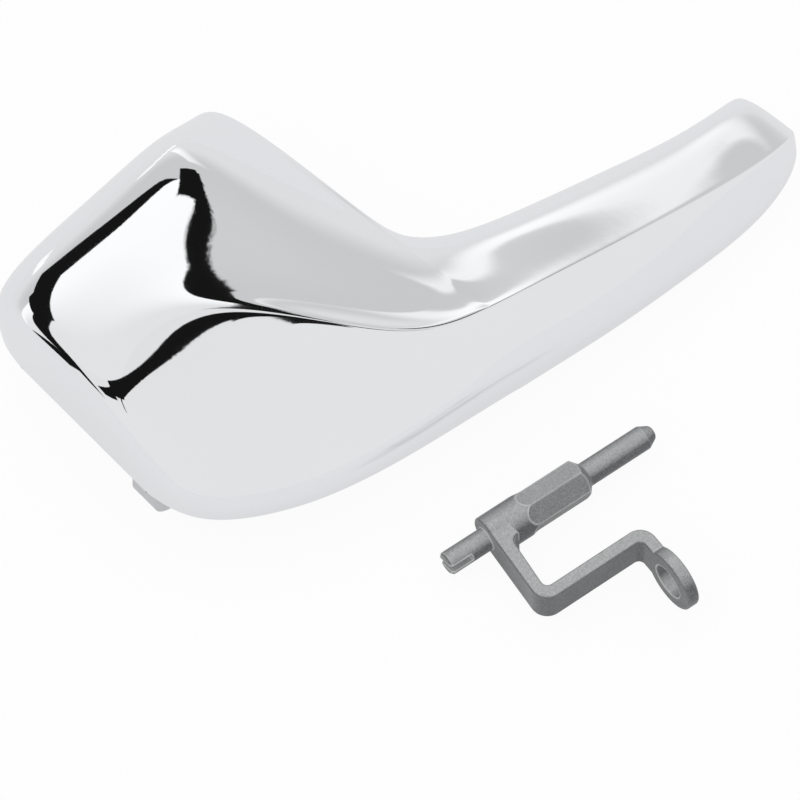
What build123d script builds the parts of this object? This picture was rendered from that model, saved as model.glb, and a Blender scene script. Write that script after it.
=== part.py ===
"""Pull handle of a car door, taken out and laid flat: a chrome-plated lever and its zinc crank.

The frame sits on the lever's pivot: +Y runs along the pivot, +X towards the tip of the grip bar,
+Z out of the show face. The lever lies face up on its two pivot ears and the tip of the bar.
"""
from build123d import *
import math
import os

# Lever skin. Each station is one cross section of the lever, from the pad's end to the bar's tip.
# The crest is the ridge along the bar, the knee is where the upper flank starts to roll over, and
# the hollow is how deep the upper flank sags between the two.
# x, lower edge y, crest y, crest z, softness of the crest, hollow, knee y, knee z, upper edge y, end side
pad_stations = [
    (-5.0, -15.5, -3.5, 4.9, 6.0, 0.0, 8.5, 4.9, 12.0, 1.0),
    (-4.7, -18.5, -4.0, 17.0, 7.0, 0.0, 11.0, 16.0, 16.2, 1.0),
    (-3.2, -25.0, -2.5, 19.0, 6.0, 0.0, 12.5, 17.6, 21.4, 0.7),
    (8.0, -31.7, -0.5, 19.6, 4.0, 0.0, 13.0, 18.4, 23.4, 0.0),
    (17.0, -34.6, -4.5, 19.4, 3.0, 0.3, 14.0, 18.2, 24.0, 0.0),
    (25.5, -36.3, -15.3, 18.3, 1.5, 1.3, 15.0, 17.5, 25.0, 0.0),
    (33.5, -37.4, -26.4, 17.2, 0.7, 2.2, 15.5, 16.5, 26.0, -0.3),
    (40.0, -38.2, -30.4, 16.4, 0.4, 1.7, 14.0, 11.8, 26.6, -0.7),
    (45.3, -38.9, -31.6, 15.8, 0.4, 1.2, 2.8, 8.4, 28.2, -1.0),
    (46.5, -39.1, -31.9, 15.6, 0.4, 0.7, -10.3, 9.9, 19.6, -1.0),
    (46.9, -39.2, -32.0, 15.5, 0.4, 0.4, -17.5, 11.3, -6.0, -1.0),
]
# The same along the bar, with the place as a share of the bar's length beyond the neck
neck_x = 47.6
bar_length = 60.0
bar_stations = [
    (0.045, -39.6, -32.6, 15.0, 0.4, 0.2, -22.4, 11.6, -11.8, -0.7),
    (0.14, -40.3, -33.5, 14.0, 0.4, 0.0, -25.0, 11.2, -15.6, -0.3),
    (0.31, -41.5, -35.2, 12.3, 0.4, 0.0, -27.6, 10.3, -18.6, 0.0),
    (0.54, -42.3, -37.2, 10.0, 0.4, 0.0, -29.8, 8.2, -21.6, 0.0),
    (0.76, -42.8, -38.8, 7.7, 0.4, 0.0, -31.4, 6.1, -24.7, 0.0),
    (0.945, -40.6, -38.8, 5.5, 0.4, 0.0, -31.6, 4.4, -25.3, -0.3),
    (0.994, -37.2, -36.4, 3.0, 0.4, 0.0, -31.2, 2.6, -25.2, -1.0),
    (1.0, -36.2, -35.4, -3.4, 0.4, 0.0, -31.2, -3.4, -26.0, -1.0),
]
stations = pad_stations + [(neck_x + bar_length * row[0], *row[1:]) for row in bar_stations]
wall = 2.4
rim_height = 3.5
lip_share = 0.33
lip_swell = 0.6
lower_tuck = 0.3
shoulder_share = 0.5
shoulder_swell = 0.4
upper_tuck = 0.2
least_height = 0.6
mouth_overcut = 2.0
rim_trim = 0.05
sections_per_station = 2.5
end_crowding = 1.6
points_per_section = 25

# Pivot ears behind the pad; the slim one stands on a foot as low as the round of the wide one
key_ear_radius = 4.8
pin_ear_radius = 3.5
ear_root_length = 16.4
ear_root_top = 20.0
foot_start = 1.0
foot_length = 4.0
foot_height = 1.0
key_ear_y = -14.3
key_ear_width = 4.8
pin_ear_width = 4.4
key_clearance = 0.12
pin_clearance = 0.08

# Ribs across the hollow of the grip bar
first_rib = 8.4
rib_spacing = 12.0
rib_count = 4
rib_thickness = 1.4
rib_setback = 3.0

# Crank shaft, measured from its slotted tail
shaft_length = 36.9
tail_radius = 1.8
tail_length = 7.2
tail_slot_width = 1.1
tail_slot_depth = 3.6
hub_radius = 3.25
hub_length = 6.1
key_length = 10.1
key_flats = 5.6
shoulder_length = 1.2
pin_radius = 1.88
pin_taper_length = 1.7
pin_tip_radius = 1.0

# Crank arm: a flat strap bent twice, with a standing eye for the cable
strap_thickness = 2.0
strap_setback = 0.2
arm_reach = 13.5
arm_lean = 0.8
leg_length = 17.4
eye_reach = 20.8
eye_radius = 4.8
eye_hole_radius = 2.75
corner_radius = 2.6
inner_corner_radius = 1.0
root_radius = 1.2
root_land = 0.2
edge_radius = 0.35

# Where the crank lies beside the lever
crank_x = 19.8
crank_y = -51.4
crank_turn = -8.35

floor_level = -key_ear_radius
first_x = stations[0][0]
last_x = stations[-1][0]
beyond = last_x - first_x
rim_fall = rim_height - floor_level
strap_height = 2 * (hub_radius - strap_setback)
hub_end = tail_length + hub_length
key_end = hub_end + key_length
section_places = [i / (points_per_section - 1) for i in range(points_per_section)]


def rim_level(x):
    """Height of the lever's open back edge, which falls from the pad's end to the bar's tip."""
    return rim_height - rim_fall * (x - first_x) / beyond


def between(a, b, share, lift=0.0):
    """Point part of the way from a to b, raised a little."""
    return (a[0] + (b[0] - a[0]) * share, a[1] + (b[1] - a[1]) * share + lift)


def station_outline(station, inset, drop):
    """Guide points of one cross section from lower edge over the crest to upper edge."""
    x, y_low, y_crest, z_crest, soft, hollow, y_knee, z_knee, y_up, side = station
    base = rim_level(x) - drop
    low = y_low + inset
    high = y_up - inset
    narrowing = (high - low) / (y_up - y_low)
    crest = (low + (y_crest - y_low) * narrowing, max(z_crest - inset, base + least_height))
    knee = (low + (y_knee - y_low) * narrowing, max(z_knee - inset, base + least_height))
    soft = soft * narrowing
    hollow = hollow * narrowing
    lip = (low - lip_swell * narrowing, base + lip_share * (crest[1] - base))
    shoulder = (high + shoulder_swell * narrowing, base + shoulder_share * (knee[1] - base))
    fall = (crest[0] - soft, crest[1] - 0.12 * soft)
    belly = 0.06 * (crest[1] - base)
    return x + side * inset, [
        (low + lower_tuck * narrowing, base),
        lip,
        between(lip, fall, 0.22, belly),
        between(lip, fall, 0.62, 0.7 * belly),
        fall,
        crest,
        between(crest, knee, min(0.4, (soft + 3 * hollow) / (knee[0] - crest[0])), 0.03 * soft - hollow),
        knee,
        between(knee, shoulder, 0.6, 0.13 * (knee[1] - base)),
        shoulder,
        (high - upper_tuck * narrowing, base),
    ]


def spline_shares(count, t):
    """Weights of the guide points at place t of a cubic spline that starts and ends on them."""
    knots = [0.0] * 3 + [float(i) for i in range(count - 2)] + [count - 3.0] * 3
    t = min(max(t, 0.0), count - 3.0 - 1e-9)
    shares = [1.0 if knots[i] <= t < knots[i + 1] else 0.0 for i in range(count + 3)]
    for degree in (1, 2, 3):
        raised = []
        for i in range(count + 3 - degree):
            rise = knots[i + degree] - knots[i]
            fall = knots[i + degree + 1] - knots[i + 1]
            left = (t - knots[i]) / rise * shares[i] if rise > 0 else 0.0
            right = (knots[i + degree + 1] - t) / fall * shares[i + 1] if fall > 0 else 0.0
            raised.append(left + right)
        shares = raised
    return shares


def skin_sections(inset, drop):
    """Smooth cross sections of the lever, as (x, points in y and z)."""
    outlines = [station_outline(station, inset, drop) for station in stations]
    span = len(stations) - 3
    steps = round(span * sections_per_station)
    for step in range(steps + 1):
        place = span * step / steps
        place = place - end_crowding * math.sin(2 * math.pi * step / steps)
        along = spline_shares(len(stations), place)
        x = sum(share * outline[0] for share, outline in zip(along, outlines))
        points = []
        for place in section_places:
            across = spline_shares(11, 8.0 * place)
            y = 0.0
            z = 0.0
            for share, outline in zip(along, outlines):
                for weight, point in zip(across, outline[1]):
                    y += share * weight * point[0]
                    z += share * weight * point[1]
            points.append(Vector(y, z))
        yield x, points


def lever_body(inset, drop):
    """Solid inside the lever's skin, moved in by inset and closed at drop below the rim."""
    with BuildPart() as body:
        for section_x, section_points in skin_sections(inset, drop):
            with BuildSketch(Plane.YZ.offset(section_x)):
                with BuildLine():
                    profile = Edge.make_spline(section_points, parameters=section_places)
                    add(profile)
                    Line(profile @ 1, profile @ 0)
                make_face()
        loft()
    return body.part


# Space that ribs and ears may fill: inside half the wall, set back from the rim
lever_filling = lever_body(wall / 2, -rib_setback)

# Ribs across the bar, grown into half the wall
with BuildPart() as bar_ribs:
    with Locations([(neck_x + first_rib + rib_spacing * i, 0.0, 0.0) for i in range(rib_count)]):
        Box(rib_thickness, beyond, beyond)
    add(lever_filling, mode=Mode.INTERSECT)

# Two ears: the wide one holds the crank's key, the narrow one its pin
with BuildPart() as ear_room:
    add(lever_filling)
    with Locations((0.0, key_ear_y / 2, rim_height + rib_setback)):
        Box(4 * key_ear_radius, beyond, beyond, align=(Align.CENTER, Align.CENTER, Align.MAX))

with BuildPart() as pivot_ears:
    with BuildSketch(Plane.XZ.offset(-key_ear_y)):
        Circle(key_ear_radius)
        with Locations((wall - key_ear_radius, ear_root_top)):
            Rectangle(ear_root_length - wall, key_ear_radius, align=(Align.MIN, Align.MAX))
        make_hull()
    extrude(amount=key_ear_width / 2, both=True)
    with BuildSketch(Plane.XZ):
        Circle(pin_ear_radius)
        with Locations((wall - key_ear_radius, ear_root_top)):
            Rectangle(ear_root_length - wall, key_ear_radius, align=(Align.MIN, Align.MAX))
        with Locations((foot_start, floor_level)):
            Rectangle(foot_length, foot_height, align=(Align.MIN, Align.MIN))
        make_hull()
    extrude(amount=pin_ear_width / 2, both=True)
    add(ear_room.part, mode=Mode.INTERSECT)

# Lever: an even wall under the skin, open at the back, its rim trimmed to one flat plane
rim_plane = Plane((first_x, 0.0, rim_height), x_dir=(beyond, 0.0, -rim_fall), z_dir=(rim_fall, 0.0, beyond))
with BuildPart() as handle_lever:
    add(lever_body(0.0, rim_trim))
    add(lever_body(wall, mouth_overcut), mode=Mode.SUBTRACT)
    with BuildSketch(rim_plane):
        Rectangle(4 * beyond, 2 * beyond)
    extrude(amount=-beyond, mode=Mode.SUBTRACT)
    add(bar_ribs.part)
    add(pivot_ears.part)
    with BuildSketch(Plane.XZ.offset(-key_ear_y)):
        RegularPolygon(key_flats / 2 + key_clearance, 6, major_radius=False)
    extrude(amount=key_ear_width, both=True, mode=Mode.SUBTRACT)
    with BuildSketch(Plane.XZ):
        Circle(pin_radius + pin_clearance)
    extrude(amount=pin_ear_width, both=True, mode=Mode.SUBTRACT)


def corner(sketch, x, y):
    """Corner of a flat outline at a place in its own plane."""
    return sketch.vertices().sort_by_distance((x, y))[0]


# Crank in its own layout: shaft along X from the tail, strap in the XY plane, floor side down
half = strap_thickness / 2
arm_x = tail_length + half
knee_x = arm_x - arm_lean
eye_x = knee_x + leg_length
root_end = arm_x + half + root_radius + root_land

# Strap: out from the hub, along the shaft, and out again to the eye
with BuildPart() as crank_strap:
    with BuildSketch(Plane.XY) as strap:
        with BuildLine():
            Polyline(
                (arm_x - half, 0.0),
                (knee_x - half, -arm_reach - half),
                (eye_x - half, -arm_reach - half),
                (eye_x - half, -eye_reach),
                (eye_x + half, -eye_reach),
                (eye_x + half, -arm_reach + half),
                (knee_x + half, -arm_reach + half),
                (arm_x + half, -hub_radius),
                (root_end, -hub_radius),
                (root_end, 0.0),
                close=True,
            )
        make_face()
        fillet(corner(strap, knee_x - half, -arm_reach - half), corner_radius)
        fillet(corner(strap, eye_x + half, -arm_reach + half), corner_radius)
        fillet(corner(strap, knee_x + half, -arm_reach + half), inner_corner_radius)
        fillet(corner(strap, eye_x - half, -arm_reach - half), inner_corner_radius)
        fillet(corner(strap, arm_x + half, -hub_radius), root_radius)
    extrude(amount=strap_height / 2, both=True)
    fillet(crank_strap.edges().group_by(Axis.Z)[-1] + crank_strap.edges().group_by(Axis.Z)[0], edge_radius)

# Eye for the cable end, standing on edge
with BuildPart() as crank_eye:
    with BuildSketch(Plane.YZ.offset(eye_x - half)):
        with Locations((-eye_reach, 0.0)):
            Circle(eye_radius)
    extrude(amount=strap_thickness)
    fillet(crank_eye.edges(), edge_radius)

with BuildPart() as crank_casting:
    with BuildSketch(Plane.XZ) as shaft:
        with BuildLine():
            Polyline(
                (0.0, 0.0),
                (0.0, tail_radius),
                (tail_length, tail_radius),
                (tail_length, hub_radius),
                (key_end, hub_radius),
                (key_end + shoulder_length, pin_radius),
                (shaft_length - pin_taper_length, pin_radius),
                (shaft_length, pin_tip_radius),
                (shaft_length, 0.0),
                close=True,
            )
        make_face()
        fillet(corner(shaft, tail_length, hub_radius), edge_radius)
        fillet(corner(shaft, key_end + shoulder_length, pin_radius), edge_radius)
        fillet(corner(shaft, shaft_length, pin_tip_radius), 2 * edge_radius)
        chamfer(corner(shaft, 0.0, tail_radius), edge_radius)
    revolve(axis=Axis.X)

    # Six flats milled along the key, each running out round towards the hub
    flat_planes = []
    for i in range(6):
        turn = math.radians(13.0 + 60.0 * i)
        out = Vector(0.0, math.cos(turn), math.sin(turn))
        flat_planes.append(Plane(out * (key_flats / 2), x_dir=(1, 0, 0), z_dir=out))
    flat_width = 2 * math.sqrt(hub_radius**2 - (key_flats / 2) ** 2)
    with BuildSketch(*flat_planes):
        with Locations((hub_end + flat_width / 2, 0.0)):
            Circle(flat_width / 2)
            Rectangle(key_length + shoulder_length, flat_width, align=(Align.MIN, Align.CENTER))
    extrude(amount=hub_radius, mode=Mode.SUBTRACT)

    # Slot across the end of the tail
    with Locations(Location((0.0, 0.0, 0.0), (67.0, 0.0, 0.0))):
        Box(2 * tail_slot_depth, tail_slot_width, 4 * tail_radius, mode=Mode.SUBTRACT)

    add(crank_strap.part)
    add(crank_eye.part)
    with BuildSketch(Plane.YZ.offset(eye_x - strap_thickness)):
        with Locations((-eye_reach, 0.0)):
            Circle(eye_hole_radius)
    extrude(amount=2 * strap_thickness, mode=Mode.SUBTRACT)

# The crank comes to rest on its hub and its eye, so it leans a little about the shaft
rest_lean = math.degrees(math.asin((eye_radius - hub_radius) / eye_reach))
with BuildPart() as pivot_crank:
    with Locations(
        Location((crank_x, crank_y, floor_level + hub_radius))
        * Location((0.0, 0.0, 0.0), (0.0, 0.0, crank_turn))
        * Location((0.0, 0.0, 0.0), (-rest_lean, 0.0, 0.0))
    ):
        add(crank_casting.part)

os.makedirs("parts", exist_ok=True)
handle_lever.part.label = "handle_lever"
export_step(handle_lever.part, "parts/handle_lever.step")
pivot_crank.part.label = "pivot_crank"
export_step(pivot_crank.part, "parts/pivot_crank.step")
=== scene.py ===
import math

import bmesh
import bpy
import numpy as np
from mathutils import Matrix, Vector
from mathutils.bvhtree import BVHTree


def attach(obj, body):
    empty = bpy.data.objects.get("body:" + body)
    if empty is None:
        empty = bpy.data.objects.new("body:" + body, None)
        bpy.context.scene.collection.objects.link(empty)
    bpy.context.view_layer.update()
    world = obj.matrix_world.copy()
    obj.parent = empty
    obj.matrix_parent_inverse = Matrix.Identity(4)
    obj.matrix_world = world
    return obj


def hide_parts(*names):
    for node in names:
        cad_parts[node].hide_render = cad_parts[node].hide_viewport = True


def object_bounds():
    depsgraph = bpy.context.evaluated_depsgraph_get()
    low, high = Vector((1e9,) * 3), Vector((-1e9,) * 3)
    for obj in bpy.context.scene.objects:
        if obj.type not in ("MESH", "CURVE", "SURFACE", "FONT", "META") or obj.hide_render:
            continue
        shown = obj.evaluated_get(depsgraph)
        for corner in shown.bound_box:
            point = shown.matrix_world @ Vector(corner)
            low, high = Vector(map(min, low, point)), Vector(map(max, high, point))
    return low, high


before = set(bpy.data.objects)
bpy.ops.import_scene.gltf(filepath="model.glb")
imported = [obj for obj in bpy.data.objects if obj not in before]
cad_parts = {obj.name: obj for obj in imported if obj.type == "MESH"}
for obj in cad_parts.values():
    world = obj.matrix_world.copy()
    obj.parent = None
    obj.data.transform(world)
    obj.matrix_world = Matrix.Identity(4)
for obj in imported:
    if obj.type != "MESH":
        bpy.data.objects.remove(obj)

scene = bpy.context.scene
cad_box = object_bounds()


# Handle lever: one injection-moulded ABS shell, plated with copper, nickel and bright chrome.
# The show side is a free-form skin over a rounded pad and a tapering grip bar; the back is open
# and carries two pivot ears. Sizes are in millimetres, as on a drawing.
pad_stations = (
    # x, lower edge y, crest y, crest z, crest softness, hollow,
    # knee y, knee z, upper edge y, end side
    (-5.0, -15.5, -3.5, 4.9, 6.0, 0.0, 8.5, 4.9, 12.0, 1.0),
    (-4.7, -18.5, -4.0, 17.0, 7.0, 0.0, 11.0, 16.0, 16.2, 1.0),
    (-3.2, -25.0, -2.5, 19.0, 6.0, 0.0, 12.5, 17.6, 21.4, 0.7),
    (8.0, -31.7, -0.5, 19.6, 4.0, 0.0, 13.0, 18.4, 23.4, 0.0),
    (17.0, -34.6, -4.5, 19.4, 3.0, 0.3, 14.0, 18.2, 24.0, 0.0),
    (25.5, -36.3, -15.3, 18.3, 1.5, 1.3, 15.0, 17.5, 25.0, 0.0),
    (33.5, -37.4, -26.4, 17.2, 0.7, 2.2, 15.5, 16.5, 26.0, -0.3),
    (40.0, -38.2, -30.4, 16.4, 0.4, 1.7, 14.0, 11.8, 26.6, -0.7),
    (45.3, -38.9, -31.6, 15.8, 0.4, 1.2, 2.8, 8.4, 28.2, -1.0),
    (46.5, -39.1, -31.9, 15.6, 0.4, 0.7, -10.3, 9.9, 19.6, -1.0),
    (46.9, -39.2, -32.0, 15.5, 0.4, 0.4, -17.5, 11.3, -6.0, -1.0),
)
bar_stations = (
    # the same, with the place as a share of the bar's length beyond the neck
    (0.045, -39.6, -32.6, 15.0, 0.4, 0.2, -22.4, 11.6, -11.8, -0.7),
    (0.14, -40.3, -33.5, 14.0, 0.4, 0.0, -25.0, 11.2, -15.6, -0.3),
    (0.31, -41.5, -35.2, 12.3, 0.4, 0.0, -27.6, 10.3, -18.6, 0.0),
    (0.54, -42.3, -37.2, 10.0, 0.4, 0.0, -29.8, 8.2, -21.6, 0.0),
    (0.76, -42.8, -38.8, 7.7, 0.4, 0.0, -31.4, 6.1, -24.7, 0.0),
    (0.945, -40.6, -38.8, 5.5, 0.4, 0.0, -31.6, 4.4, -25.3, -0.3),
    (0.994, -37.2, -36.4, 3.0, 0.4, 0.0, -31.2, 2.6, -25.2, -1.0),
    (1.0, -36.2, -35.4, -3.4, 0.4, 0.0, -31.2, -3.4, -26.0, -1.0),
)
millimetre = 0.001
neck_x, bar_length = 47.6, 60.0
rim_at_pad, rim_at_tip = 3.5, -4.8
lever_wall = 2.4
least_height = 0.6
lip_share, lip_swell, lower_tuck = 0.33, 0.6, 0.3
shoulder_share, shoulder_swell, upper_tuck = 0.5, 0.4, 0.2
crest_drop, belly_share, most_sag = 0.12, 0.06, 0.4
lever_stations = pad_stations + tuple(
    (neck_x + bar_length * row[0], *row[1:]) for row in bar_stations
)


def rim_height(x):
    """Height of the open back edge, which falls from the pad's end to the bar's tip."""
    first, last = lever_stations[0][0], lever_stations[-1][0]
    return rim_at_pad + (rim_at_tip - rim_at_pad) * (x - first) / (last - first)


def toward(a, b, share, lift=0.0):
    """Place part of the way from a to b, raised a little."""
    return (a[0] + (b[0] - a[0]) * share, a[1] + (b[1] - a[1]) * share + lift)


def section_guides(station, inset, raised):
    """Guide points of one cross section, from the lower edge over the crest to the upper edge."""
    x, y_low, y_crest, z_crest, soft, hollow, y_knee, z_knee, y_high, side = station
    base = rim_height(x) + raised
    low, high = y_low + inset, y_high - inset
    narrow = (high - low) / (y_high - y_low)
    soft, hollow = soft * narrow, hollow * narrow
    crest = (low + (y_crest - y_low) * narrow, max(z_crest - inset, base + least_height))
    knee = (low + (y_knee - y_low) * narrow, max(z_knee - inset, base + least_height))
    lip = (low - lip_swell * narrow, base + lip_share * (crest[1] - base))
    shoulder = (high + shoulder_swell * narrow, base + shoulder_share * (knee[1] - base))
    fall = (crest[0] - soft, crest[1] - crest_drop * soft)
    belly = belly_share * (crest[1] - base)
    sag = min(most_sag, (soft + 3.0 * hollow) / (knee[0] - crest[0]))
    points = (
        (low + lower_tuck * narrow, base),
        lip,
        toward(lip, fall, 0.22, belly),
        toward(lip, fall, 0.62, 0.7 * belly),
        fall,
        crest,
        toward(crest, knee, sag, 0.03 * soft - hollow),
        knee,
        toward(knee, shoulder, 0.6, 0.13 * (knee[1] - base)),
        shoulder,
        (high - upper_tuck * narrow, base),
    )
    return [(x + side * inset, y, z) for y, z in points]


def spline_weights(count, places):
    """Cubic spline weights of the guide points at each place; the ends lie on the guides."""
    knots = np.concatenate([[0.0] * 3, np.arange(count - 2.0), [count - 3.0] * 3])
    places = np.clip(places, 0.0, count - 3.0 - 1e-9)[:, None]
    weights = ((places >= knots[:-1]) & (places < knots[1:])).astype(float)
    for degree in (1, 2, 3):
        rise = knots[degree:-1] - knots[:-1 - degree]
        fall = knots[degree + 1:] - knots[1:-degree]
        up = (places - knots[:-1 - degree]) / np.where(rise > 0, rise, np.inf)
        down = (knots[degree + 1:] - places) / np.where(fall > 0, fall, np.inf)
        weights = up * weights[:, :-1] + down * weights[:, 1:]
    return weights


def skin_grid(inset, raised, rows, columns):
    """Grid of points over the lever's show side, moved in by inset, in metres."""
    guides = np.array([section_guides(station, inset, raised) for station in lever_stations])
    along = spline_weights(len(guides), np.linspace(0.0, len(guides) - 3.0, rows))
    across = spline_weights(guides.shape[1], np.linspace(0.0, guides.shape[1] - 3.0, columns))
    return np.einsum("ui,vj,ijk->uvk", along, across, guides) * millimetre


def ends_closed(grid):
    """The grid with its first and last cross sections brought down to the rim."""
    first, last = grid[:1].copy(), grid[-1:].copy()
    first[:, :, 2], last[:, :, 2] = first[0, 0, 2], last[0, 0, 2]
    return np.concatenate([first, grid, last])


def grid_quads(rows, columns):
    """Faces between the points of a grid."""
    return [
        (i * columns + j, (i + 1) * columns + j, (i + 1) * columns + j + 1, i * columns + j + 1)
        for i in range(rows - 1)
        for j in range(columns - 1)
    ]


def grid_border(rows, columns):
    """Numbers of the points round the edge of a grid, in order."""
    low = [i * columns for i in range(rows)]
    tip = [(rows - 1) * columns + j for j in range(1, columns)]
    high = [i * columns + columns - 1 for i in range(rows - 2, -1, -1)]
    end = [j for j in range(columns - 2, 0, -1)]
    return low + tip + high + end


# Outer and inner skin share one layout of points, so the rim between them is a plain band of quads
steps_along, steps_across = 281, 161
outer_grid = ends_closed(skin_grid(0.0, 0.0, steps_along, steps_across))
inner_grid = ends_closed(skin_grid(lever_wall, 0.0, steps_along, steps_across))
skin_rows, skin_columns = outer_grid.shape[:2]
outer_points = [Vector(p) for p in outer_grid.reshape(-1, 3)]
inner_points = [Vector(p) for p in inner_grid.reshape(-1, 3)]
skin_quads = grid_quads(skin_rows, skin_columns)
skin_border = grid_border(skin_rows, skin_columns)
shell = bmesh.new()
back_mark = shell.verts.layers.float.new("back")
outer_verts = [shell.verts.new(p) for p in outer_points]
inner_verts = [shell.verts.new(p) for p in inner_points]
for vert in inner_verts:
    vert[back_mark] = 1.0
for quad in skin_quads:
    shell.faces.new([outer_verts[k] for k in quad])
    shell.faces.new([inner_verts[k] for k in reversed(quad)])
for k, m in zip(skin_border, skin_border[1:] + skin_border[:1]):
    shell.faces.new((outer_verts[m], outer_verts[k], inner_verts[k], inner_verts[m]))

# The pivot ears are the moulding's own flat and round faces, with their roots sunk into the wall
ear_end = 0.013
show_reach, back_reach, rim_reach = 0.0006, 0.0009, 0.0001
same_way, downward = 0.6, -0.9
root_depth, root_lift = 0.0007, 0.0004
outer_tree = BVHTree.FromPolygons(outer_points, skin_quads)
inner_tree = BVHTree.FromPolygons(inner_points, skin_quads)
ears = bmesh.new()
ears.from_mesh(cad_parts["handle_lever"].data)
bmesh.ops.remove_doubles(ears, verts=ears.verts, dist=1e-6)
ears.normal_update()
not_ears = []
for face in ears.faces:
    middle = face.calc_center_median()
    _, out_normal, _, out_distance = outer_tree.find_nearest(middle)
    _, in_normal, _, in_distance = inner_tree.find_nearest(middle)
    rim_gap = abs(middle.z - millimetre * rim_height(middle.x / millimetre))
    on_show = out_distance < show_reach and out_normal.dot(face.normal) > same_way
    on_back = in_distance < back_reach and in_normal.dot(face.normal) < -same_way
    on_rim = rim_gap < rim_reach and face.normal.z < downward
    if middle.x > ear_end or on_show or on_back or on_rim:
        not_ears.append(face)
bmesh.ops.delete(ears, geom=not_ears, context="FACES")
for vert in [v for v in ears.verts if v.is_boundary]:
    _, normal, _, distance = inner_tree.find_nearest(vert.co)
    vert.co += root_depth * normal if distance < back_reach else Vector((0.0, 0.0, root_lift))
ear_mesh = bpy.data.meshes.new("pivot_ears")
ears.to_mesh(ear_mesh)
ears.free()


# Ribs of the handle lever: four thin webs moulded across the hollow of the grip bar, in the same
# ABS and plated with it. They stop short of the rim and run half way into the wall.
rib_start, rib_pitch, rib_total, rib_width = 56.0, 12.0, 4, 1.4
rib_setback, rib_middle_y, rib_blank = 3.0, -30.0, 80.0
room_from, room_to = 50.0, 100.0
room_grid = skin_grid(lever_wall / 2, rib_setback, 141, 61)
room_x = room_grid[:, 0, 0] / millimetre
room_grid = room_grid[(room_x > room_from) & (room_x < room_to)]
room_rows, room_columns = room_grid.shape[:2]
room_quads = grid_quads(room_rows, room_columns)
for i in range(room_rows - 1):
    a, b = i * room_columns, (i + 1) * room_columns
    room_quads.append((a + room_columns - 1, b + room_columns - 1, b, a))
last_row = (room_rows - 1) * room_columns
room_ends = [
    tuple(range(room_columns)),
    tuple(range(last_row + room_columns - 1, last_row - 1, -1)),
]
room_mesh = bpy.data.meshes.new("rib_room")
room_mesh.from_pydata(room_grid.reshape(-1, 3).tolist(), [], room_quads + room_ends)
ribs = bpy.data.objects.new("bar_ribs", room_mesh)
scene.collection.objects.link(ribs)

rib_tree = bpy.data.node_groups.new("bar_ribs", "GeometryNodeTree")
sockets = {}
for name, kind in (
    ("Geometry", "NodeSocketGeometry"),
    ("First Rib", "NodeSocketVector"),
    ("Pitch", "NodeSocketVector"),
    ("Count", "NodeSocketInt"),
    ("Plate", "NodeSocketVector"),
    ("Finish", "NodeSocketMaterial"),
):
    sockets[name] = rib_tree.interface.new_socket(name, in_out="INPUT", socket_type=kind).identifier
rib_tree.interface.new_socket("Geometry", in_out="OUTPUT", socket_type="NodeSocketGeometry")
nodes, links = rib_tree.nodes, rib_tree.links
given = nodes.new("NodeGroupInput")
row = nodes.new("GeometryNodeMeshLine")
links.new(given.outputs["Count"], row.inputs["Count"])
links.new(given.outputs["First Rib"], row.inputs["Start Location"])
links.new(given.outputs["Pitch"], row.inputs["Offset"])
plate_shape = nodes.new("GeometryNodeMeshCube")
links.new(given.outputs["Plate"], plate_shape.inputs["Size"])
placed = nodes.new("GeometryNodeInstanceOnPoints")
links.new(row.outputs["Mesh"], placed.inputs["Points"])
links.new(plate_shape.outputs["Mesh"], placed.inputs["Instance"])
plates = nodes.new("GeometryNodeRealizeInstances")
links.new(placed.outputs["Instances"], plates.inputs[0])
trimmed = nodes.new("GeometryNodeMeshBoolean")
trimmed.operation = "INTERSECT"
trimmed.solver = "EXACT"
links.new(given.outputs["Geometry"], trimmed.inputs["Mesh 2"])
links.new(plates.outputs[0], trimmed.inputs["Mesh 2"])
whole = nodes.new("GeometryNodeRealizeInstances")
links.new(trimmed.outputs["Mesh"], whole.inputs[0])
finished = nodes.new("GeometryNodeSetMaterial")
links.new(whole.outputs[0], finished.inputs["Geometry"])
links.new(given.outputs["Finish"], finished.inputs["Material"])
result = nodes.new("NodeGroupOutput")
links.new(finished.outputs["Geometry"], result.inputs["Geometry"])

# Shared marks of handling and casting: a fine grain and a broad smear by place on the piece, and
# the edges, which the crank's colour lightens both as wear and as a painted highlight
marks = bpy.data.node_groups.new("surface_marks", "ShaderNodeTree")
for name in ("Grain Size", "Smear Size", "Edge Width"):
    marks.interface.new_socket(name, in_out="INPUT", socket_type="NodeSocketFloat")
for name in ("Grain", "Smear", "Edge"):
    marks.interface.new_socket(name, in_out="OUTPUT", socket_type="NodeSocketFloat")
nodes, links = marks.nodes, marks.links
given, result = nodes.new("NodeGroupInput"), nodes.new("NodeGroupOutput")
place = nodes.new("ShaderNodeTexCoord")
for name, detail, rough in (("Grain", 3.0, 0.6), ("Smear", 2.0, 0.5)):
    noise = nodes.new("ShaderNodeTexNoise")
    noise.inputs["Detail"].default_value = detail
    noise.inputs["Roughness"].default_value = rough
    links.new(place.outputs["Object"], noise.inputs["Vector"])
    links.new(given.outputs[name + " Size"], noise.inputs["Scale"])
    links.new(noise.outputs["Fac"], result.inputs[name])
rounded = nodes.new("ShaderNodeBevel")
rounded.samples = 6
links.new(given.outputs["Edge Width"], rounded.inputs["Radius"])
surface = nodes.new("ShaderNodeNewGeometry")
agree = nodes.new("ShaderNodeVectorMath")
agree.operation = "DOT_PRODUCT"
links.new(rounded.outputs["Normal"], agree.inputs[0])
links.new(surface.outputs["Normal"], agree.inputs[1])
edge_wear_and_sheen = nodes.new("ShaderNodeMapRange")
edge_wear_and_sheen.inputs["From Min"].default_value = 0.99
edge_wear_and_sheen.inputs["From Max"].default_value = 0.86
links.new(agree.outputs["Value"], edge_wear_and_sheen.inputs["Value"])
links.new(edge_wear_and_sheen.outputs["Result"], result.inputs["Edge"])


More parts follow.
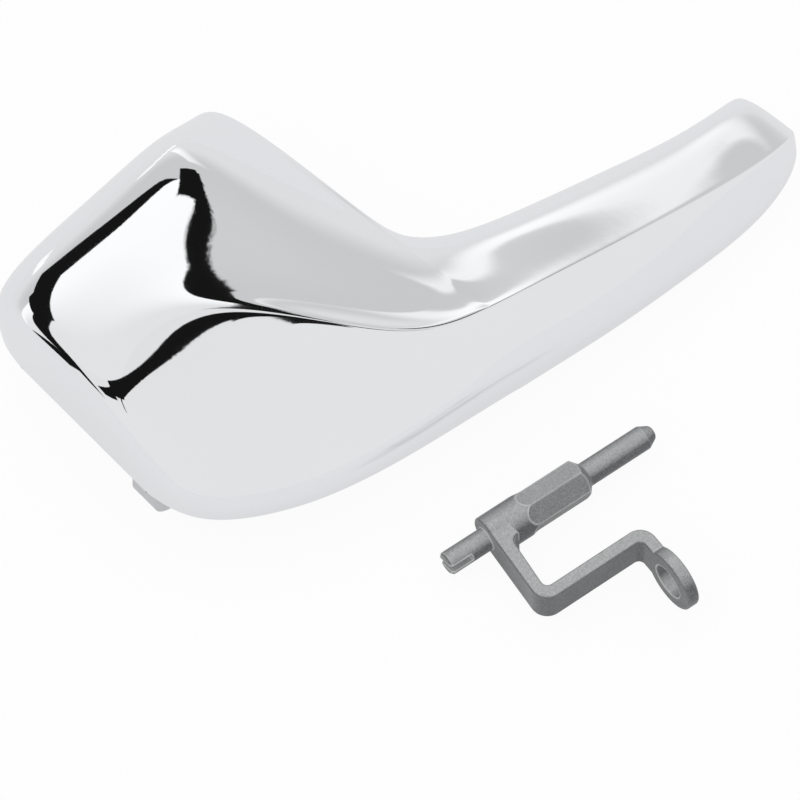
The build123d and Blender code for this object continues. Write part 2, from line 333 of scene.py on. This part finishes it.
def spread(nodes, links, value, low, high, at_low, at_high):
    """Map a value between two levels."""
    node = nodes.new("ShaderNodeMapRange")
    node.inputs["From Min"].default_value = low
    node.inputs["From Max"].default_value = high
    node.inputs["To Min"].default_value = at_low
    node.inputs["To Max"].default_value = at_high
    links.new(value, node.inputs["Value"])
    return node.outputs["Result"]


def tint(nodes, links, share, first, second):
    """Colour between two tones, each a plain one or the result of another node."""
    node = nodes.new("ShaderNodeMix")
    node.data_type = "RGBA"
    links.new(share, node.inputs[0])
    for socket, tone in zip(node.inputs[6:8], (first, second)):
        if isinstance(tone, tuple):
            socket.default_value = (*tone, 1.0)
        else:
            links.new(tone, socket)
    return node.outputs[2]


chrome = bpy.data.materials.new("bright_chrome_plate")
chrome.use_nodes = True
nodes, links = chrome.node_tree.nodes, chrome.node_tree.links
plate = nodes["Principled BSDF"]
plate.inputs["Metallic"].default_value = 1.0
wear = nodes.new("ShaderNodeGroup")
wear.node_tree = marks
wear.inputs["Grain Size"].default_value = 260.0
wear.inputs["Smear Size"].default_value = 45.0
back_side = nodes.new("ShaderNodeAttribute")
back_side.attribute_name = "back"
gloss = spread(nodes, links, wear.outputs["Smear"], 0.35, 0.75, 0.015, 0.05)
dull = nodes.new("ShaderNodeMath")
dull.operation = "MULTIPLY_ADD"
links.new(back_side.outputs["Fac"], dull.inputs[0])
dull.inputs[1].default_value = 0.26
links.new(gloss, dull.inputs[2])
links.new(dull.outputs[0], plate.inputs["Roughness"])
cloud = tint(nodes, links, wear.outputs["Smear"], (0.93, 0.935, 0.945), (0.90, 0.91, 0.93))
inside = tint(nodes, links, back_side.outputs["Fac"], cloud, (0.66, 0.665, 0.68))
links.new(inside, plate.inputs["Base Color"])
ripple = nodes.new("ShaderNodeBump")
ripple.inputs["Strength"].default_value = 0.006
ripple.inputs["Distance"].default_value = 0.0004
links.new(wear.outputs["Grain"], ripple.inputs["Height"])
links.new(ripple.outputs["Normal"], plate.inputs["Normal"])

layer = ribs.modifiers.new("ribs", "NODES")
layer.node_group = rib_tree
layer[sockets["First Rib"]] = (millimetre * rib_start, millimetre * rib_middle_y, 0.0)
layer[sockets["Pitch"]] = (millimetre * rib_pitch, 0.0, 0.0)
layer[sockets["Count"]] = rib_total
layer[sockets["Plate"]] = [millimetre * size for size in (rib_width, rib_blank, rib_blank)]
layer[sockets["Finish"]] = chrome
shaped_ribs = ribs.evaluated_get(bpy.context.evaluated_depsgraph_get())
rib_mesh = bpy.data.meshes.new_from_object(shaped_ribs)
ribs.modifiers.clear()
bpy.data.objects.remove(ribs)

# Shell, ears and ribs are one moulding, so they become one mesh
for part_mesh in (ear_mesh, rib_mesh):
    known = len(shell.verts)
    shell.from_mesh(part_mesh)
    shell.verts.ensure_lookup_table()
    for vert in shell.verts[known:]:
        vert[back_mark] = 1.0
for face in shell.faces:
    face.smooth = True
    face.material_index = 0
lever_mesh = bpy.data.meshes.new("lever_shell")
shell.to_mesh(lever_mesh)
shell.free()
lever_mesh.set_sharp_from_angle(angle=math.radians(32.0))
lever_mesh.materials.append(chrome)
lever = bpy.data.objects.new("lever_shell", lever_mesh)
scene.collection.objects.link(lever)
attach(lever, "root")
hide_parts("handle_lever")


# Pivot crank: a small zinc die casting with a fine grey grain. Its colour holds painted light: the
# faces that look up are painted about three times lighter than the sides, which carry painted
# shade, and the edges get a painted highlight that also stands for wear.
# Its six-sided key locks into the lever's wide ear, the slim pin runs in the narrow one, and the
# strap carries the eye for the latch cable.
zinc = bpy.data.materials.new("cast_zinc")
zinc.use_nodes = True
nodes, links = zinc.node_tree.nodes, zinc.node_tree.links
casting = nodes["Principled BSDF"]
casting.inputs["Metallic"].default_value = 0.5
wear = nodes.new("ShaderNodeGroup")
wear.node_tree = marks
wear.inputs["Grain Size"].default_value = 3400.0
wear.inputs["Smear Size"].default_value = 150.0
wear.inputs["Edge Width"].default_value = 0.0005
own_axes = nodes.new("ShaderNodeTexCoord")
facing_up = nodes.new("ShaderNodeSeparateXYZ")
links.new(own_axes.outputs["Normal"], facing_up.inputs[0])
# painted light: faces that look up in the crank's own frame are painted lighter, and the sides
# darker as painted shade; the grain in both is the casting's own
painted_top_light = spread(nodes, links, facing_up.outputs["Z"], 0.66, 0.99, 0.0, 1.0)
speckle = spread(nodes, links, wear.outputs["Grain"], 0.36, 0.64, 0.0, 1.0)
grain_in_painted_shade = tint(nodes, links, speckle, (0.115, 0.119, 0.123), (0.19, 0.195, 0.20))
grain_in_painted_light = tint(nodes, links, speckle, (0.40, 0.41, 0.415), (0.53, 0.54, 0.545))
body = tint(nodes, links, painted_top_light, grain_in_painted_shade, grain_in_painted_light)
# painted highlight along the crank's edges, which also stands for worn edges
edge_wear_and_highlight = spread(nodes, links, wear.outputs["Edge"], 0.0, 1.0, 0.0, 0.75)
edged = tint(nodes, links, edge_wear_and_highlight, body, (0.82, 0.82, 0.81))
links.new(edged, casting.inputs["Base Color"])
gloss = spread(nodes, links, wear.outputs["Smear"], 0.3, 0.7, 0.28, 0.40)
links.new(gloss, casting.inputs["Roughness"])
skin = nodes.new("ShaderNodeBump")
skin.inputs["Strength"].default_value = 0.14
skin.inputs["Distance"].default_value = 0.0002
links.new(wear.outputs["Grain"], skin.inputs["Height"])
links.new(skin.outputs["Normal"], casting.inputs["Normal"])
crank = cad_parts["pivot_crank"]
crank.data.materials.clear()
crank.data.materials.append(zinc)
# the plated skin doesn't mirror the crank
crank.visible_glossy = False


# Floor: a plain white table that keeps only the soft shadow under the pair. It is white to the
# camera and a little greyer to the plated skin.
floor_level, floor_half = cad_box[0][2], 3.0
floor_corners = [
    (floor_half * x, floor_half * y, floor_level) for x, y in ((-1, -1), (1, -1), (1, 1), (-1, 1))
]
floor_mesh = bpy.data.meshes.new("floor")
floor_mesh.from_pydata(floor_corners, [], [(0, 1, 2, 3)])
floor = bpy.data.objects.new("floor", floor_mesh)
scene.collection.objects.link(floor)
paper = bpy.data.materials.new("white_table")
paper.use_nodes = True
nodes, links = paper.node_tree.nodes, paper.node_tree.links
sheet = nodes["Principled BSDF"]
sheet.inputs["Base Color"].default_value = (0.86, 0.86, 0.86, 1.0)
sheet.inputs["Roughness"].default_value = 0.9
sheet.inputs["Specular IOR Level"].default_value = 0.0
path = nodes.new("ShaderNodeLightPath")
seen = nodes.new("ShaderNodeEmission")
mirrored = nodes.new("ShaderNodeEmission")
mirrored.inputs["Color"].default_value = (0.80, 0.80, 0.81, 1.0)
either = nodes.new("ShaderNodeMixShader")
links.new(path.outputs["Is Camera Ray"], either.inputs[0])
links.new(mirrored.outputs[0], either.inputs[1])
links.new(seen.outputs[0], either.inputs[2])
direct = nodes.new("ShaderNodeMath")
direct.operation = "MULTIPLY"
direct.inputs[1].default_value = 0.94
links.new(path.outputs["Is Camera Ray"], direct.inputs[0])
glow = nodes.new("ShaderNodeMath")
glow.operation = "MULTIPLY_ADD"
glow.inputs[1].default_value = 0.78
links.new(path.outputs["Is Glossy Ray"], glow.inputs[0])
links.new(direct.outputs[0], glow.inputs[2])
blend = nodes.new("ShaderNodeMixShader")
links.new(glow.outputs[0], blend.inputs[0])
links.new(sheet.outputs[0], blend.inputs[1])
links.new(either.outputs[0], blend.inputs[2])
links.new(blend.outputs[0], nodes["Material Output"].inputs["Surface"])
floor_mesh.materials.append(paper)


# Camera: a long lens, high in front of the pad's lower corner, turned so that the grip bar runs
# up to the right and the crank lies below it.
azimuth, elevation, camera_distance = math.radians(-43.4), math.radians(63.0), 0.45
target = Vector((0.03094, -0.0301, 0.0048))
back = Vector((
    math.sin(azimuth) * math.cos(elevation),
    -math.cos(azimuth) * math.cos(elevation),
    math.sin(elevation),
))
camera_data = bpy.data.cameras.new("camera")
camera_data.lens = 140.5
camera_data.sensor_width = 36.0
camera_data.clip_start = 0.01
camera = bpy.data.objects.new("camera", camera_data)
camera.location = target + back * camera_distance
camera.rotation_euler = back.to_track_quat("Z", "Y").to_euler()
scene.collection.objects.link(camera)
scene.camera = camera


# Studio light: a large soft box over the table in a black frame, pale walls, and small lamps along
# the far wall. It is painted on the world by direction, so the chrome has a room to mirror.
world = bpy.data.worlds.new("studio")
scene.world = world
world.use_nodes = True
nodes, links = world.node_tree.nodes, world.node_tree.links
nodes.clear()


def calc(operation, *values):
    """One sum, of plain numbers or the results of other nodes."""
    node = nodes.new("ShaderNodeMath")
    node.operation = operation
    for socket, value in zip(node.inputs, values):
        if isinstance(value, (int, float)):
            socket.default_value = value
        else:
            links.new(value, socket)
    return node.outputs[0]


def facing(axis):
    """How far a direction of the room lies along an axis."""
    node = nodes.new("ShaderNodeVectorMath")
    node.operation = "DOT_PRODUCT"
    links.new(room, node.inputs[0])
    node.inputs[1].default_value = axis
    return node.outputs["Value"]


def ramp(value, low, high, at_low=0.0, at_high=1.0):
    """Soft step from one level to another."""
    node = nodes.new("ShaderNodeMapRange")
    node.interpolation_type = "SMOOTHSTEP"
    links.new(value, node.inputs["Value"])
    node.inputs["From Min"].default_value = low
    node.inputs["From Max"].default_value = high
    node.inputs["To Min"].default_value = at_low
    node.inputs["To Max"].default_value = at_high
    return node.outputs["Result"]


def over(value, limit, soft=0.006):
    """One over a limit, nought under it."""
    return ramp(value, limit - soft, limit + soft)


def under(value, limit, soft=0.006):
    """One under a limit, nought over it."""
    return ramp(value, limit - soft, limit + soft, 1.0, 0.0)


def within(value, low, high, soft=0.006):
    """One between two limits, nought outside them."""
    return calc("MULTIPLY", over(value, low, soft), under(value, high, soft))


def all_of(*masks):
    """One where every mask is one."""
    total = masks[0]
    for mask in masks[1:]:
        total = calc("MULTIPLY", total, mask)
    return total


def toward_sky(bearing, height):
    """Direction at a bearing from +X and a height above the floor, in degrees."""
    b, h = math.radians(bearing), math.radians(height)
    return Vector((math.cos(b) * math.cos(h), math.sin(b) * math.cos(h), math.sin(h)))


room = nodes.new("ShaderNodeTexCoord").outputs["Generated"]
box_axis = Vector((-back.x, -back.y, back.z))
level_axis = (Vector((1.0, 0.0, 0.0)) - box_axis * box_axis.x).normalized()
cross_axis = box_axis.cross(level_axis)
box_turn = math.radians(57.0)
box_long = level_axis * math.cos(box_turn) + cross_axis * math.sin(box_turn)
box_wide = cross_axis * math.cos(box_turn) - level_axis * math.sin(box_turn)
ahead = facing(box_axis)
near_one = calc("MAXIMUM", ahead, 0.001)
in_front = ramp(ahead, 0.03, 0.06)
fuzz = nodes.new("ShaderNodeTexNoise")
fuzz.inputs["Scale"].default_value = 170.0
fuzz.inputs["Detail"].default_value = 3.0
links.new(room, fuzz.inputs["Vector"])
jitter = calc("MULTIPLY_ADD", fuzz.outputs["Fac"], 0.016, -0.008)
along = calc("ADD", calc("DIVIDE", facing(box_long), near_one), jitter)
across = calc("ADD", calc("DIVIDE", facing(box_wide), near_one), jitter)
below = calc("SUBTRACT", calc("MULTIPLY_ADD", along, -0.18, -0.08), across)
height = facing((0.0, 0.0, 1.0))

# walls, paler on the side of the table's front, with a soft lamp strip on the far wall
wall_level, strip_level, lamp_level = 0.82, 0.30, 1.06
side = facing(Vector((0.5, 0.866, 0.0)))
walls = calc("SUBTRACT", wall_level, ramp(side, -0.5, 0.6, 0.0, 0.04))
far_shade = all_of(ramp(side, 0.2, 0.8, 0.0, 0.16), ramp(height, 0.15, 0.42))
walls = calc("SUBTRACT", walls, far_shade)
strip_from, strip_to = toward_sky(53.0, 14.9), toward_sky(44.0, 24.6)
strip_normal = strip_from.cross(strip_to).normalized()
strip_middle = (strip_from + strip_to).normalized()
off_strip = facing(strip_normal)
along_strip = facing(strip_middle.cross(strip_normal))
strip = all_of(
    over(off_strip, 0.0, 0.012),
    ramp(height, 0.42, 0.445, 1.0, 0.0),
    under(off_strip, 0.08, 0.05),
    over(along_strip, -0.24, 0.06),
    under(along_strip, 0.24, 0.06),
    ramp(facing(strip_middle), 0.0, 0.1),
)
level = calc("MULTIPLY_ADD", strip, strip_level, walls)
for bearing, rise, size in (
    (67.0, 13.0, 0.035),
    (64.5, 10.0, 0.035),
    (62.0, 7.0, 0.035),
    (59.5, 4.0, 0.035),
    (57.0, 1.5, 0.035),
    (82.5, 8.0, 0.035),
    (81.5, 5.0, 0.035),
    (80.5, 2.0, 0.03),
):
    middle = facing(toward_sky(bearing, rise))
    lamp = ramp(middle, math.cos(1.3 * size), math.cos(0.8 * size))
    level = calc("MAXIMUM", level, calc("MULTIPLY", lamp, lamp_level))

# black frame round the soft box, with slanting edges, and a black flag that stands off on the left
lower_slant = calc("MULTIPLY_ADD", across, 0.65, along)
corner_slant = calc("MULTIPLY_ADD", across, 0.35, along)
upper_slant = calc("MULTIPLY_ADD", across, -0.57, along)
top_slant = calc("MULTIPLY_ADD", across, -0.4, along)
tail_slant = calc("MULTIPLY_ADD", along, 0.143, across)
end_slant = calc("MULTIPLY_ADD", along, 0.25, across)
cut_from = calc("MULTIPLY_ADD", along, 1.86, across)
cut_to = calc("MULTIPLY_ADD", along, 2.8, across)
bars = (
    # side away from the grip bar: foot, upright, leaning top and a thin tail
    all_of(over(lower_slant, -0.70), under(along, -0.431), within(across, -0.30, -0.02)),
    all_of(within(along, -0.70, -0.43), within(across, -0.05, 0.3)),
    all_of(within(corner_slant, -0.72, -0.42), within(across, 0.25, 1.8)),
    all_of(within(along, -1.15, -0.60), within(tail_slant, -0.075, -0.03)),
    # thin edge between the two sides
    all_of(within(along, -0.2, 0.56), within(below, -0.012, 0.04)),
    # side towards the grip bar: corner, foot and upright
    all_of(over(top_slant, 0.38), under(along, 0.60), within(across, -0.165, -0.055)),
    all_of(within(along, 0.43, 0.60), within(across, -0.205, -0.13)),
    all_of(over(along, 0.46), under(upper_slant, 0.49), within(across, -0.1, 0.75)),
    # far end: crossbar and its cut corner
    all_of(within(along, 0.085, 0.59), over(end_slant, 0.56), under(across, 0.85)),
    all_of(over(end_slant, 0.56), over(cut_from, 0.73, 0.01), under(cut_to, 1.42, 0.02)),
)
black = bars[0]
for bar in bars[1:]:
    black = calc("MAXIMUM", black, bar)
black = calc("MULTIPLY", black, in_front)
flag = all_of(
    within(facing((-0.515, -0.857, 0.0)), -0.07, 0.07),
    ramp(facing(toward_sky(149.0, 0.0)), 0.5, 0.55),
    within(height, -0.60, 0.40, 0.02),
)
black = calc("MAXIMUM", black, flag)
not_black = calc("SUBTRACT", 1.0, black)
level = calc("MULTIPLY", level, not_black)

# the soft box itself, brighter towards the grip bar, and the little light that black gives back
black_level = 0.008
box = all_of(within(along, -0.44, 0.46), under(below, 0.0), not_black, in_front)
box_light = ramp(along, -0.05, 0.38, 0.82, 1.05)
round_box = calc("MULTIPLY", level, calc("SUBTRACT", 1.0, box))
level = calc("ADD", round_box, calc("MULTIPLY", box, box_light))
level = calc("ADD", level, black_level)

# matt faces also feel a key light from above and behind; the camera sees plain white
path = nodes.new("ShaderNodeLightPath")
key_light = ramp(facing(Vector((-0.25, 0.6, 0.76)).normalized()), -0.1, 1.0, -0.65, 1.25)
key_share = calc("MULTIPLY_ADD", path.outputs["Is Diffuse Ray"], key_light, 1.0)
lifted = calc("MULTIPLY", level, key_share)
studio = nodes.new("ShaderNodeBackground")
studio.inputs["Color"].default_value = (1.0, 1.0, 1.0, 1.0)
links.new(lifted, studio.inputs["Strength"])
plain = nodes.new("ShaderNodeBackground")
plain.inputs["Color"].default_value = (1.0, 1.0, 1.0, 1.0)
either = nodes.new("ShaderNodeMixShader")
links.new(path.outputs["Is Camera Ray"], either.inputs[0])
links.new(studio.outputs[0], either.inputs[1])
links.new(plain.outputs[0], either.inputs[2])
out = nodes.new("ShaderNodeOutputWorld")
links.new(either.outputs[0], out.inputs["Surface"])

scene.view_settings.view_transform = "Standard"
